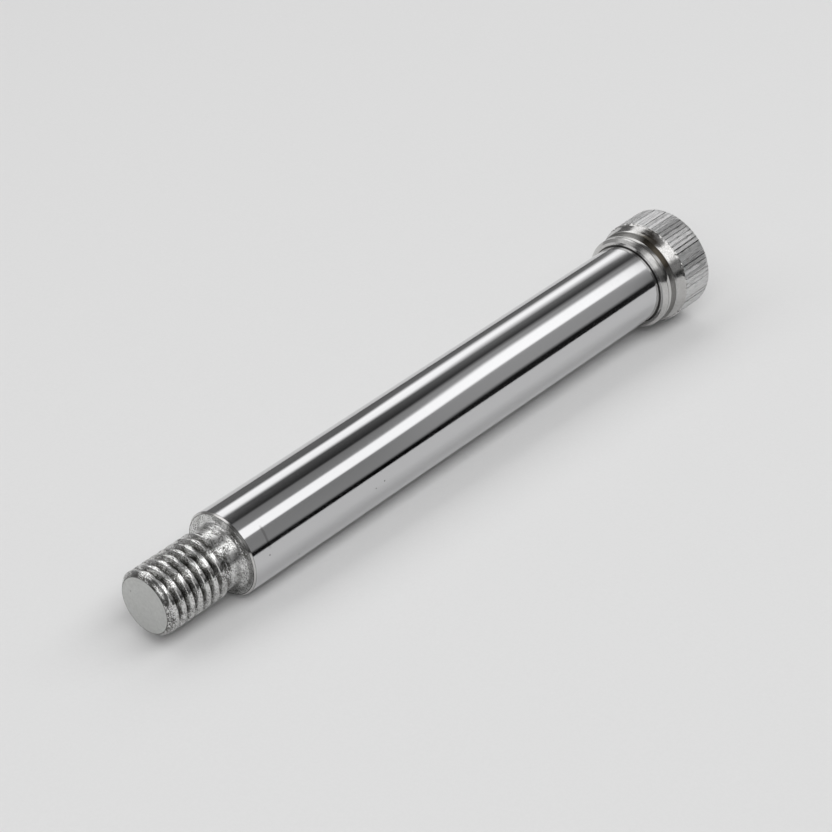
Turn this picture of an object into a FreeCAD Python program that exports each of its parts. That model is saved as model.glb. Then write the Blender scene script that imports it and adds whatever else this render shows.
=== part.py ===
"""Shoulder bolt: a ground shoulder, a knurled socket head and a coarse thread.

The bolt is one turned piece of steel. It stands on its head: the head's end
face lies in the plane Z = 0, the axis is +Z and the threaded end points up.
All sizes are in millimetres.
"""
import FreeCAD, Part
import os
import Sketcher

SIZES = {
    "shoulder_diameter": 13,
    "shoulder_length": 90,
    "shoulder_end_chamfer": 0.25,
    "relief_width": 0.4,
    "relief_depth": 0.25,
    "collar_overhang": 1.1,
    "collar_thickness": 1.65,
    "collar_chamfer": 0.45,
    "groove_depth": 0.35,
    "groove_width": 0.95,
    "underside_taper": 0.35,
    "underside_length": 1.65,
    "head_overhang": 0.8,
    "head_rim_chamfer": 0.45,
    "knurl_step": 0.25,
    "knurl_length": 6.2,
    "knurl_count": 72,
    "knurl_depth": 0.22,
    "knurl_angle": 96,
    "neck_length": 3.1,
    "neck_depth": 0.4,
    "neck_fillet": 0.9,
    "thread_diameter": 10,
    "thread_pitch": 1.5,
    "thread_length": 11.3,
    "thread_crest_flat": 0.26,
    "thread_depth": 0.9,
    "thread_angle": 60,
    "thread_overrun": 0.1,
    "runout_extra_depth": 0.06,
    "tip_chamfer": 0.8,
    "socket_flats": 6,
    "socket_depth": 5.5,
    "socket_point_angle": 120,
    "socket_mouth_chamfer": 0.3,
}

AXIS = "axis"
BASE = "base"


def size(alias):
    """Return the expression text that reads one size from the sheet."""
    return "Sizes." + alias


def half(alias):
    """Return the expression text for half of one size, such as a radius."""
    return f"({size(alias)} / 2)"


# Heights above the head's end face, from the head up to the thread's tip.
KNURL_END = size("knurl_length")
UNDERSIDE_START = f"({KNURL_END} + {size('knurl_step')})"
GROOVE_START = f"({UNDERSIDE_START} + {size('underside_length')})"
COLLAR_BACK = f"({GROOVE_START} + {size('groove_width')})"
BEARING_FACE = f"({COLLAR_BACK} + {size('collar_thickness')})"
RELIEF_END = f"({BEARING_FACE} + {size('relief_width')})"
SHOULDER_END = f"({BEARING_FACE} + {size('shoulder_length')})"
THREAD_START = f"({SHOULDER_END} + {size('neck_length')})"
TIP = f"({THREAD_START} + {size('thread_length')})"

# Radii of the turned surfaces, each built on the one that it grows from.
SHOULDER_RADIUS = half("shoulder_diameter")
RELIEF_RADIUS = f"({SHOULDER_RADIUS} - {size('relief_depth')})"
COLLAR_RADIUS = f"({SHOULDER_RADIUS} + {size('collar_overhang')})"
GROOVE_RADIUS = f"({COLLAR_RADIUS} - {size('groove_depth')})"
HEAD_RADIUS = f"({COLLAR_RADIUS} + {size('head_overhang')})"
UNDERSIDE_RADIUS = f"({HEAD_RADIUS} - {size('knurl_step')})"
UNDERSIDE_END_RADIUS = f"({UNDERSIDE_RADIUS} - {size('underside_taper')})"
THREAD_RADIUS = half("thread_diameter")
NECK_RADIUS = f"({THREAD_RADIUS} - {size('neck_depth')})"

# The V of the thread: how wide its groove is at the crest, the floor and beyond the crest.
FLANK_SLOPE = f"tan({half('thread_angle')} * 1deg)"
GROOVE_MOUTH = f"({size('thread_pitch')} - {size('thread_crest_flat')})"
GROOVE_FLOOR = f"({GROOVE_MOUTH} - 2 * {size('thread_depth')} * {FLANK_SLOPE})"
GROOVE_OUTER = f"({GROOVE_MOUTH} + 2 * {size('thread_overrun')} * {FLANK_SLOPE})"

# The run-out ring, where the thread's groove starts beside the neck.
THREAD_ROOT = f"({THREAD_RADIUS} - {size('thread_depth')})"
RING_FLOOR = f"({THREAD_ROOT} - {size('runout_extra_depth')})"
RING_MIDDLE = f"({THREAD_START} - {GROOVE_MOUTH} / 2)"
RING_BACK = f"({THREAD_START} - {GROOVE_MOUTH})"

# Corners of the blank's half outline, as (radius, height), from the head to the tip.
BLANK_CORNERS = {
    "head_centre": (AXIS, BASE),
    "head_rim": (HEAD_RADIUS, BASE),
    "knurl_end": (HEAD_RADIUS, KNURL_END),
    "underside_start": (UNDERSIDE_RADIUS, UNDERSIDE_START),
    "underside_end": (UNDERSIDE_END_RADIUS, GROOVE_START),
    "groove_start": (GROOVE_RADIUS, GROOVE_START),
    "groove_end": (GROOVE_RADIUS, COLLAR_BACK),
    "collar_back": (COLLAR_RADIUS, COLLAR_BACK),
    "collar_edge": (COLLAR_RADIUS, BEARING_FACE),
    "relief_start": (RELIEF_RADIUS, BEARING_FACE),
    "relief_end": (RELIEF_RADIUS, RELIEF_END),
    "shoulder_start": (SHOULDER_RADIUS, f"{RELIEF_END} + {size('relief_depth')}"),
    "shoulder_edge": (SHOULDER_RADIUS, SHOULDER_END),
    "neck_corner": (NECK_RADIUS, SHOULDER_END),
    "neck_end": (NECK_RADIUS, RING_BACK),
    "thread_start": (THREAD_RADIUS, RING_BACK),
    "thread_lead": (THREAD_RADIUS, TIP),
    "tip_centre": (AXIS, TIP),
}


def make_document():
    """Open the document and write every driving size into its sheet."""
    doc = FreeCAD.newDocument("ShoulderBolt")
    sheet = doc.addObject("Spreadsheet::Sheet", "Sizes")
    for row, (alias, value) in enumerate(SIZES.items(), start=1):
        sheet.set(f"A{row}", alias)
        sheet.set(f"B{row}", str(value))
        sheet.setAlias(f"B{row}", alias)
    doc.recompute()
    return doc


def new_sketch(body, name, role):
    """Add an empty sketch to the body, flat on the origin plane with that role."""
    plane = next(item for item in body.Origin.OriginFeatures if item.Role == role)
    sketch = body.newObject("Sketcher::SketchObject", name)
    sketch.AttachmentSupport = [(plane, "")]
    sketch.MapMode = "FlatFace"
    return sketch


def fix_distance(sketch, kind, line, name, expression):
    """Tie the start of one line to the sketch's origin by a named distance."""
    index = sketch.addConstraint(Sketcher.Constraint(kind, -1, 1, line, 1, 1.0 + line))
    sketch.renameConstraint(index, name)
    sketch.setExpression(f"Constraints.{name}", expression)


def draw_outline(sketch, corners):
    """Draw a closed outline of straight lines whose corners follow the sheet.

    Each corner is a pair of expressions, across and up from the origin. AXIS
    puts it on the upright axis and BASE on the level one. The lines start as a
    rough ring, and the distances then move each corner to its true place.
    """
    count = len(corners)
    rough = [FreeCAD.Vector(1 + index, (1 + index) ** 2, 0) for index in range(count)]
    lines = [Part.LineSegment(rough[index], rough[(index + 1) % count]) for index in range(count)]
    sketch.addGeometry(lines, False)
    for index in range(count):
        sketch.addConstraint(Sketcher.Constraint("Coincident", index, 2, (index + 1) % count, 1))
    for index, (across, up) in enumerate(corners):
        if across == AXIS:
            sketch.addConstraint(Sketcher.Constraint("PointOnObject", index, 1, -2))
        else:
            fix_distance(sketch, "DistanceX", index, f"across_{index}", across)
        if up == BASE:
            sketch.addConstraint(Sketcher.Constraint("PointOnObject", index, 1, -1))
        else:
            fix_distance(sketch, "DistanceY", index, f"up_{index}", up)


def turn_blank(body):
    """Revolve the blank: head, collar, shoulder, neck and the plain thread end."""
    sketch = new_sketch(body, "BlankOutline", "XZ_Plane")
    draw_outline(sketch, list(BLANK_CORNERS.values()))
    blank = body.newObject("PartDesign::Revolution", "Blank")
    blank.Profile = sketch
    blank.ReferenceAxis = (sketch, ["V_Axis"])
    blank.Angle = 360
    sketch.Visibility = False
    body.Document.recompute()
    return blank


def ring_edges(feature, marker):
    """Name the feature's full-circle edges that pass through the marker point."""
    point = Part.Vertex(marker)
    return [
        f"Edge{index}"
        for index, edge in enumerate(feature.Shape.Edges, start=1)
        if isinstance(edge.Curve, Part.Circle) and edge.distToShape(point)[0] < 1e-4
    ]


def dress_ring(body, base, kind, name, corner, size_property, alias):
    """Chamfer or round the turned edge at one named corner of the blank."""
    outline = body.Document.getObject("BlankOutline")
    line = outline.Geometry[list(BLANK_CORNERS).index(corner)]
    marker = outline.getGlobalPlacement().multVec(line.StartPoint)
    feature = body.newObject(kind, name)
    feature.Base = (base, ring_edges(base, marker))
    feature.setExpression(size_property, size(alias))
    body.Document.recompute()
    return feature


def break_edges(body, blank):
    """Chamfer the turned edges and round the corner where the neck meets the shoulder."""
    base = blank
    for name, corner, alias in (
        ("HeadRim", "head_rim", "head_rim_chamfer"),
        ("CollarEdge", "collar_edge", "collar_chamfer"),
        ("ShoulderEdge", "shoulder_edge", "shoulder_end_chamfer"),
        ("ThreadLead", "thread_lead", "tip_chamfer"),
    ):
        base = dress_ring(body, base, "PartDesign::Chamfer", name, corner, "Size", alias)
    return dress_ring(
        body, base, "PartDesign::Fillet", "NeckFillet", "neck_corner", "Radius", "neck_fillet"
    )


def draw_groove_section(body, name, floor):
    """Draw the thread's V at the run-out ring, down to the given floor radius."""
    sketch = new_sketch(body, name, "XZ_Plane")
    mouth = f"{THREAD_RADIUS} + {size('thread_overrun')}"
    draw_outline(sketch, [
        (floor, f"{RING_MIDDLE} - {GROOVE_FLOOR} / 2"),
        (mouth, f"{RING_MIDDLE} - {GROOVE_OUTER} / 2"),
        (mouth, f"{RING_MIDDLE} + {GROOVE_OUTER} / 2"),
        (floor, f"{RING_MIDDLE} + {GROOVE_FLOOR} / 2"),
    ])
    sketch.Visibility = False
    return sketch


def cut_thread(body):
    """Cut the run-out ring, then the helical groove that starts in it.

    The groove is a symmetrical V with a flat floor. It climbs right-handed
    from the ring beside the neck until it is clear of the tip.
    """
    section = draw_groove_section(body, "RunOutSection", RING_FLOOR)
    ring = body.newObject("PartDesign::Groove", "RunOutRing")
    ring.Profile = section
    ring.ReferenceAxis = (section, ["V_Axis"])
    ring.Angle = 360
    body.Document.recompute()

    section = draw_groove_section(body, "ThreadSection", THREAD_ROOT)
    thread = body.newObject("PartDesign::SubtractiveHelix", "Thread")
    thread.Profile = section
    thread.ReferenceAxis = (section, ["V_Axis"])
    thread.Mode = "pitch-height-angle"
    thread.setExpression("Pitch", size("thread_pitch"))
    thread.setExpression("Height", f"{size('thread_length')} + 2 * {size('thread_pitch')}")
    thread.Angle = 0
    thread.LeftHanded = False
    thread.Reversed = False
    body.Document.recompute()
    return thread


def cut_socket(body):
    """Sink the hexagon socket into the head's face, with a drilled point and an open mouth."""
    sketch = new_sketch(body, "SocketHexagon", "XY_Plane")
    flat = half("socket_flats")
    corner = f"({size('socket_flats')} / sqrt(3))"
    rise = f"({corner} / 2)"
    draw_outline(sketch, [
        (flat, rise),
        (AXIS, corner),
        (f"-{flat}", rise),
        (f"-{flat}", f"-{rise}"),
        (AXIS, f"-{corner}"),
        (flat, f"-{rise}"),
    ])
    socket = body.newObject("PartDesign::Pocket", "Socket")
    socket.Profile = sketch
    socket.Reversed = True
    socket.setExpression("Length", size("socket_depth"))
    sketch.Visibility = False

    point = new_sketch(body, "SocketPoint", "XZ_Plane")
    point_rise = f"{flat} / tan({half('socket_point_angle')} * 1deg)"
    draw_outline(point, [
        (AXIS, f"{size('socket_depth')} - {size('socket_mouth_chamfer')}"),
        (flat, f"{size('socket_depth')} - {size('socket_mouth_chamfer')}"),
        (flat, size("socket_depth")),
        (AXIS, f"{size('socket_depth')} + {point_rise}"),
    ])
    drill = body.newObject("PartDesign::Groove", "SocketDrillPoint")
    drill.Profile = point
    drill.ReferenceAxis = (point, ["V_Axis"])
    drill.Angle = 360
    point.Visibility = False

    mouth = new_sketch(body, "SocketMouthSection", "XZ_Plane")
    draw_outline(mouth, [
        (AXIS, BASE),
        (f"{corner} + {size('socket_mouth_chamfer')} / 2", BASE),
        (f"{corner} - {size('socket_mouth_chamfer')} / 2", size("socket_mouth_chamfer")),
        (AXIS, size("socket_mouth_chamfer")),
    ])
    countersink = body.newObject("PartDesign::Groove", "SocketMouth")
    countersink.Profile = mouth
    countersink.ReferenceAxis = (mouth, ["V_Axis"])
    countersink.Angle = 360
    mouth.Visibility = False
    body.Document.recompute()
    return countersink


def cut_knurl(body):
    """Cut one straight V along the head and repeat it round the axis."""
    sketch = new_sketch(body, "KnurlSection", "XY_Plane")
    floor = f"{HEAD_RADIUS} - {size('knurl_depth')}"
    outer = f"{HEAD_RADIUS} + {size('knurl_depth')}"
    spread = f"2 * {size('knurl_depth')} * tan({half('knurl_angle')} * 1deg)"
    draw_outline(sketch, [
        (floor, BASE),
        (outer, spread),
        (outer, f"-({spread})"),
    ])
    groove = body.newObject("PartDesign::Pocket", "KnurlGroove")
    groove.Profile = sketch
    groove.Reversed = True
    groove.setExpression("Length", UNDERSIDE_START)
    sketch.Visibility = False
    body.Document.recompute()

    pattern = body.newObject("PartDesign::PolarPattern", "Knurl")
    pattern.Originals = [groove]
    pattern.Axis = (sketch, ["N_Axis"])
    pattern.Angle = 360
    pattern.setExpression("Occurrences", size("knurl_count"))
    body.Tip = pattern
    body.Document.recompute()
    return pattern


def check_cut(before, after, name):
    """Stop if a cut took nothing away, which a reversed pocket would do silently."""
    if after.Shape.Volume >= before - 1e-6:
        raise RuntimeError(f"{name} removed no material")
    return after.Shape.Volume


def build_bolt(doc):
    """Build the bolt as one body and return it."""
    body = doc.addObject("PartDesign::Body", "Bolt")
    body.Label = "shoulder_bolt"
    blank = turn_blank(body)
    volume = blank.Shape.Volume
    volume = check_cut(volume, break_edges(body, blank), "edge breaks")
    volume = check_cut(volume, cut_thread(body), "thread")
    volume = check_cut(volume, cut_socket(body), "socket")
    check_cut(volume, cut_knurl(body), "knurl")
    body.Placement = FreeCAD.Placement()
    return body


def check_document(doc, body):
    """Stop if any object of the document failed or the bolt isn't one valid solid."""
    for item in doc.Objects:
        if "Invalid" in item.State or "Error" in item.State:
            raise RuntimeError(f"{item.Name} failed: {item.State}")
    shape = body.Shape
    if shape.isNull() or not shape.isValid() or len(shape.Solids) != 1:
        raise RuntimeError(f"{body.Label} is not one valid solid")


def main():
    """Build the document, check it and write the bolt's STEP file."""
    doc = make_document()
    bolt = build_bolt(doc)
    doc.recompute()
    check_document(doc, bolt)
    os.makedirs("parts", exist_ok=True)
    bolt.Shape.exportStep(f"parts/{bolt.Label}.step")
    box = bolt.Shape.optimalBoundingBox(True, False)
    print(f"{bolt.Label}: {box.XLength:.2f} x {box.YLength:.2f} x {box.ZLength:.2f} mm,",
          f"{bolt.Shape.Volume / 1000:.2f} cm3, {len(bolt.Shape.Faces)} faces")


main()
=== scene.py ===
import logging
import math
from dataclasses import dataclass, field
from enum import Enum

import bmesh
import bpy
from bpy.types import Material, Mesh, Node, NodeSocket, NodeTree, Object
from mathutils import Matrix, Vector


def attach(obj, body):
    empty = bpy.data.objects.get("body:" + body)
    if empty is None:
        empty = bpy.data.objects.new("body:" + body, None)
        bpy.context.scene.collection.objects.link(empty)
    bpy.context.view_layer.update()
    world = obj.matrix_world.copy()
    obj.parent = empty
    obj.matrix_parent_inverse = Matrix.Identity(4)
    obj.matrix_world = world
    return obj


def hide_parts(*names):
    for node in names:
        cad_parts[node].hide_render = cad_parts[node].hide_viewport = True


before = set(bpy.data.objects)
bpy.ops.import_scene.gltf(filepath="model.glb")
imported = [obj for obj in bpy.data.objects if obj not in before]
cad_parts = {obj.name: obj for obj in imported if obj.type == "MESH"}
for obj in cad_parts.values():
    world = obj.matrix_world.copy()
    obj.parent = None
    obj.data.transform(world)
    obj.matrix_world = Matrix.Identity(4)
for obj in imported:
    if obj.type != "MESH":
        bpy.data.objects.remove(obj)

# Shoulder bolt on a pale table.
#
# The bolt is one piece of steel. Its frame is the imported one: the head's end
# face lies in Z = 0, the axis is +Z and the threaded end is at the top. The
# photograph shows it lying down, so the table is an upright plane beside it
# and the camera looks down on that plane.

LOG = logging.getLogger("shoulder_bolt")
MM = 0.001
COLUMNS = 288
NODE_NAME = "shoulder_bolt"


class Band(Enum):
    """Finishes along the bolt. The value is the material slot on the piece."""

    SOCKET = 0
    FACE = 1
    KNURL = 2
    TURNED = 3
    # Painted shade: dark steel in the groove and in the thin corners by the collar.
    PAINTED_SHADE = 4
    GROUND = 5
    SATIN = 6
    ROLLED = 7
    SAWN = 8
    CONE = 9
    LINE = 10


class Section(Enum):
    """Cross-sections that one ring of the bolt can have."""

    ROUND = "round"
    HEXAGON = "hexagon"
    MOUTH = "mouth"


def linear(colour: str) -> tuple[float, float, float, float]:
    """Turn an sRGB hex colour into the linear colour that Blender uses.

    Args:
        colour: Six hex digits after a hash.

    Returns:
        Red, green, blue and an alpha of one, all linear.
    """
    levels = [int(colour[at:at + 2], 16) / 255 for at in (1, 3, 5)]
    red, green, blue = (
        level / 12.92 if level <= 0.04045 else ((level + 0.055) / 1.055) ** 2.4
        for level in levels
    )
    return red, green, blue, 1.0


def shares(steps: int) -> list[float]:
    """Return how much of a way lies behind after each of its equal steps."""
    return [step / steps for step in range(1, steps + 1)]


def per_metre(millimetres: float) -> float:
    """Return the texture scale whose features are that many millimetres wide."""
    return 1.0 / (millimetres * MM)


MATH = ("ShaderNodeMath", (0, 1, 2))


class Kind(Enum):
    """Kinds of node: the node's type, the inputs that values fill in order, and its settings."""

    PLUS = (*MATH, {"operation": "ADD"})
    MINUS = (*MATH, {"operation": "SUBTRACT"})
    TIMES = (*MATH, {"operation": "MULTIPLY"})
    OVER = (*MATH, {"operation": "DIVIDE"})
    TIMES_PLUS = (*MATH, {"operation": "MULTIPLY_ADD"})
    LOWEST = (*MATH, {"operation": "MINIMUM"})
    HIGHEST = (*MATH, {"operation": "MAXIMUM"})
    SOFT_LOWEST = (*MATH, {"operation": "SMOOTH_MIN"})
    SOFT_HIGHEST = (*MATH, {"operation": "SMOOTH_MAX"})
    SIZE = (*MATH, {"operation": "ABSOLUTE"})
    POWER = (*MATH, {"operation": "POWER"})
    FLOOR = (*MATH, {"operation": "FLOOR"})
    REST = (*MATH, {"operation": "MODULO"})
    FOLD = (*MATH, {"operation": "PINGPONG"})
    ABOVE = (*MATH, {"operation": "GREATER_THAN"})
    BELOW = (*MATH, {"operation": "LESS_THAN"})
    SINE = (*MATH, {"operation": "SINE"})
    COSINE = (*MATH, {"operation": "COSINE"})
    ANGLE = (*MATH, {"operation": "ARCTAN2"})
    STRETCH = ("ShaderNodeVectorMath", (0, 1), {"operation": "MULTIPLY"})
    LENGTH = ("ShaderNodeVectorMath", (0,), {"operation": "LENGTH"})
    DISTANCE = ("ShaderNodeVectorMath", (0, 1), {"operation": "DISTANCE"})
    RANGE = ("ShaderNodeMapRange", ("Value", "From Min", "From Max", "To Min", "To Max"), {})
    OPEN_RANGE = (*RANGE[:2], {"clamp": False})
    SOFT_RANGE = (*RANGE[:2], {"interpolation_type": "SMOOTHSTEP"})
    NOISE = ("ShaderNodeTexNoise", ("Vector", "Scale", "Detail", "Roughness"), {})
    BUMP = ("ShaderNodeBump", ("Height", "Strength", "Distance", "Normal"), {})
    BLEND = ("ShaderNodeMix", (0, 6, 7), {"data_type": "RGBA"})
    MIX = ("ShaderNodeMix", (0, 2, 3), {"data_type": "FLOAT"})
    PARTS = ("ShaderNodeSeparateXYZ", (0,), {})
    JOIN = ("ShaderNodeCombineXYZ", (0, 1, 2), {})


def in_use(node: Node) -> NodeSocket:
    """Return the first output that a node's settings leave in use."""
    return next(socket for socket in node.outputs if socket.enabled)


def add(tree: NodeTree, kind: Kind | str, *values: object, inputs: dict | None = None,
        **settings: object) -> Node:
    """Add one node to a tree, with its settings and its inputs.

    Args:
        tree: The tree that gets the node.
        kind: One of the listed kinds, or the node's type name.
        values: What goes into the inputs of a listed kind, in their order.
        inputs: Input name or index to what goes into it. That is a plain value, the
            socket that feeds it, or a node whose first output in use feeds it.
        settings: The node's own properties.

    Returns:
        The new node.
    """
    node_type, names, fixed = kind.value if isinstance(kind, Kind) else (kind, (), {})
    node = tree.nodes.new(node_type)
    for name, value in {**fixed, **settings}.items():
        setattr(node, name, value)
    for name, value in {**dict(zip(names, values)), **(inputs or {})}.items():
        if isinstance(value, Node):
            value = in_use(value)
        if isinstance(value, NodeSocket):
            tree.links.new(value, node.inputs[name])
        else:
            node.inputs[name].default_value = value
    return node


def from_axis(tree: NodeTree, place: Node | NodeSocket) -> Node:
    """Add each point's distance from the bolt's axis."""
    return add(tree, Kind.LENGTH, add(tree, Kind.STRETCH, place, (1.0, 1.0, 0.0)))


def polar(tree: NodeTree, angle: Node, radius: Node, height: Node) -> Node:
    """Join an angle, a radius and a height round the bolt's axis into one place."""
    across = add(tree, Kind.TIMES, add(tree, Kind.COSINE, angle), radius)
    upward = add(tree, Kind.TIMES, add(tree, Kind.SINE, angle), radius)
    return add(tree, Kind.JOIN, across, upward, height)


def empty_tree(owner: Material | bpy.types.World) -> NodeTree:
    """Return the node tree of a new material or world, with no nodes in it."""
    owner.use_nodes = True
    owner.node_tree.nodes.clear()
    return owner.node_tree


def finished(work: bmesh.types.BMesh, name: str) -> Mesh:
    """Return the work as a mesh with that name, and free the work."""
    mesh = bpy.data.meshes.new(name)
    work.to_mesh(mesh)
    work.free()
    return mesh


def put(name: str, data: bpy.types.ID) -> Object:
    """Put a mesh, a lamp or a camera into the scene, and return its object."""
    piece = bpy.data.objects.new(name, data)
    bpy.context.scene.collection.objects.link(piece)
    return piece


def pose(place: Vector, right: Vector, up: Vector) -> Matrix:
    """Return the matrix of a lamp or camera at a place, from its right and its up."""
    return Matrix.Translation(place) @ Matrix((right, up, right.cross(up))).transposed().to_4x4()


@dataclass(frozen=True)
class Steel:
    """Bare steel, the base of every finish on the bolt.

    Steel reflects about six tenths of the light and is almost neutral. Each
    finish changes the roughness, and adds the marks that its tool leaves.
    """

    name: str = "steel"
    colour: str = "#CECECD"
    roughness: float = 0.3

    def material(self) -> Material:
        """Build the finish as a node material.

        Returns:
            The material, with its pattern read from Object coordinates.
        """
        material = bpy.data.materials.new(self.name)
        tree = empty_tree(material)
        place = add(tree, "ShaderNodeTexCoord").outputs["Object"]
        shader = add(tree, "ShaderNodeBsdfPrincipled", inputs={
            "Base Color": linear(self.colour), "Metallic": 1.0, "Roughness": self.roughness,
            **self.mark(tree, place)})
        add(tree, "ShaderNodeOutputMaterial", inputs={"Surface": shader}, is_active_output=True)
        return material

    def mark(self, tree: NodeTree, place: NodeSocket) -> dict[str, Node]:
        """Add the finish's own pattern; plain steel has none.

        Args:
            tree: The material's tree.
            place: Object coordinates.

        Returns:
            The shader's inputs that the pattern drives, each with its node.
        """
        return {}

    def spot(self, tree: NodeTree, place: NodeSocket, middle: tuple[float, ...], inner: float,
             outer: float, strength: float = 1.0) -> Node:
        """Add one round spot that fades from full strength to nothing.

        Args:
            tree: The material's tree.
            place: Object coordinates.
            middle: Middle of the spot, in millimetres.
            inner: Radius in millimetres at which the spot starts to fade.
            outer: Radius in millimetres at which it ends.
            strength: Its value in the middle.

        Returns:
            The node with the spot's strength.
        """
        away = add(tree, Kind.DISTANCE, place, tuple(value * MM for value in middle))
        return add(tree, Kind.RANGE, away, inner * MM, outer * MM, strength, 0.0)

    def round_the_axis(self, tree: NodeTree, place: NodeSocket,
                       stretch: tuple[float, float, float]) -> Node:
        """Return coordinates of angle, height and radius, each times its stretch.

        Args:
            tree: The material's tree.
            place: Object coordinates.
            stretch: Factors for the angle in radians, the height and the radius in metres.

        Returns:
            The node with a vector for a texture that follows the turned surface.
        """
        parts = add(tree, Kind.PARTS, place)
        angle = add(tree, Kind.ANGLE, parts.outputs["Y"], parts.outputs["X"])
        joined = add(tree, Kind.JOIN, angle, parts.outputs["Z"], from_axis(tree, place))
        return add(tree, Kind.STRETCH, joined, stretch)


@dataclass(frozen=True)
class GroundSteel(Steel):
    """Hardened steel, centreless ground and polished.

    It mirrors the room in clean bands along the shoulder. The wheel leaves
    very fine lines round the bolt, and handling leaves a few small pits. The
    lines are about 0.01 mm apart on real steel and are drawn coarser, or they
    wouldn't show. Each mark is x, y, z and radius; the nick is x, y, z and reach.
    """

    name: str = "steel_ground_polished"
    colour: str = "#CECECF"
    roughness: float = 0.09
    line_spacing: float = 0.18
    marks: tuple[tuple[float, float, float, float], ...] = (
        (-6.447, -0.826, 74.61, 0.16),
        (-6.477, -0.544, 76.43, 0.13),
        (-6.190, 1.983, 91.97, 0.15),
        (-6.358, -1.352, 97.64, 0.16),
    )
    nick: tuple[float, float, float, float] = (-5.353, -3.688, 97.23, 1.9)
    mark_colour: str = "#5C5B58"
    smear_length: float = 9.0
    line_depth: float = 0.04
    pit_depth: float = 0.01

    def mark(self, tree: NodeTree, place: NodeSocket) -> dict[str, Node]:
        """Add grinding lines round the bolt, four pits and one faint cross line.

        Args:
            tree: The material's tree.
            place: Object coordinates.

        Returns:
            The shader's inputs that the pattern drives, each with its node.
        """
        fine = self.round_the_axis(tree, place, (0.8, per_metre(self.line_spacing), 0.0))
        lines = add(tree, Kind.NOISE, fine, 1.0, 2.0, 0.6)
        slow = self.round_the_axis(tree, place, (2.0, per_metre(self.smear_length), 0.0))
        smear = add(tree, Kind.NOISE, slow, 1.0, 2.0)
        both = add(tree, Kind.PLUS, lines, smear)
        rough = add(tree, Kind.RANGE, both, 0.6, 1.4, self.roughness - 0.02, self.roughness + 0.02)

        # The nick is a thin wandering line, seen only within its reach.
        *_, z, reach = self.nick
        parts = add(tree, Kind.PARTS, place)
        wander = add(tree, Kind.TIMES_PLUS, smear, 0.4 * MM, (z - 0.2) * MM)
        across = add(tree, Kind.MINUS, parts.outputs["Z"], wander)
        off = add(tree, Kind.SIZE, across)
        thin = add(tree, Kind.RANGE, off, 0.04 * MM, 0.3 * MM, 0.38, 0.0)
        near = self.spot(tree, place, self.nick[:3], reach * 0.7, reach)
        dark = add(tree, Kind.TIMES, thin, near)
        for *middle, size in self.marks:
            spot = self.spot(tree, place, middle, size * 0.4, size)
            dark = add(tree, Kind.HIGHEST, dark, spot)
        tint = add(tree, Kind.BLEND, dark, linear(self.colour), linear(self.mark_colour))
        height = add(tree, Kind.TIMES, lines, self.line_depth)
        deep = add(tree, Kind.MINUS, height, dark)
        bump = add(tree, Kind.BUMP, deep, 0.35, self.pit_depth * MM)
        return {"Roughness": rough, "Base Color": tint, "Normal": bump}


@dataclass(frozen=True)
class RolledSteel(Steel):
    """Steel left satin by thread rolling and a light blast.

    The skin is finely pitted, so light breaks into pale and dark grains. The
    rolls rub the crests bright. The thread's root is darker, as dirt and
    painted shade in the groove. The grains are drawn coarser than the real
    pits, so that they show.
    """

    name: str = "steel_rolled_satin"
    colour: str = "#E9E9E8"
    dark_colour: str = "#43413D"
    roughness: float = 0.16
    grain: float = 0.095
    grain_length: float = 0.14
    patch: float = 1.1
    depth: float = 0.001
    root_radius: float = 4.2
    crest_radius: float = 4.93
    root_share: float = -0.15
    crest_share: float = 0.85
    patch_share: float = 0.35
    dark_level: float = 0.56
    bright_level: float = 0.79
    contrast: float = 0.9

    def mark(self, tree: NodeTree, place: NodeSocket) -> dict[str, Node]:
        """Add dark grains in patches, paint dirt and shade into the root, and pit the skin.

        Args:
            tree: The material's tree.
            place: Object coordinates.

        Returns:
            The shader's inputs that the pattern drives, each with its node.
        """
        skin = self.round_the_axis(tree, place, (
            self.crest_radius / self.grain_length, per_metre(self.grain), per_metre(self.grain)))
        grain = add(tree, Kind.NOISE, skin, 1.0, 2.0, 0.6)
        patch = add(tree, Kind.NOISE, place, per_metre(self.patch), 2.0)
        level = add(tree, Kind.TIMES_PLUS, patch, self.patch_share, grain)
        share = add(
            tree, Kind.OPEN_RANGE, level, self.dark_level, self.bright_level, -self.contrast,
            self.contrast)
        # Dirt and painted shade: the colour darkens towards the thread's root.
        high = add(
            tree, Kind.RANGE, from_axis(tree, place), self.root_radius * MM,
            self.crest_radius * MM, self.root_share, self.crest_share)
        bright = add(tree, Kind.PLUS, share, high)
        tint = add(tree, Kind.BLEND, bright, linear(self.dark_colour), linear(self.colour))
        rough = add(tree, Kind.RANGE, bright, 0.0, 1.0, self.roughness + 0.14, self.roughness)
        bump = add(tree, Kind.BUMP, grain, 0.8, self.depth * MM)
        return {"Base Color": tint, "Roughness": rough, "Normal": bump}


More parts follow.
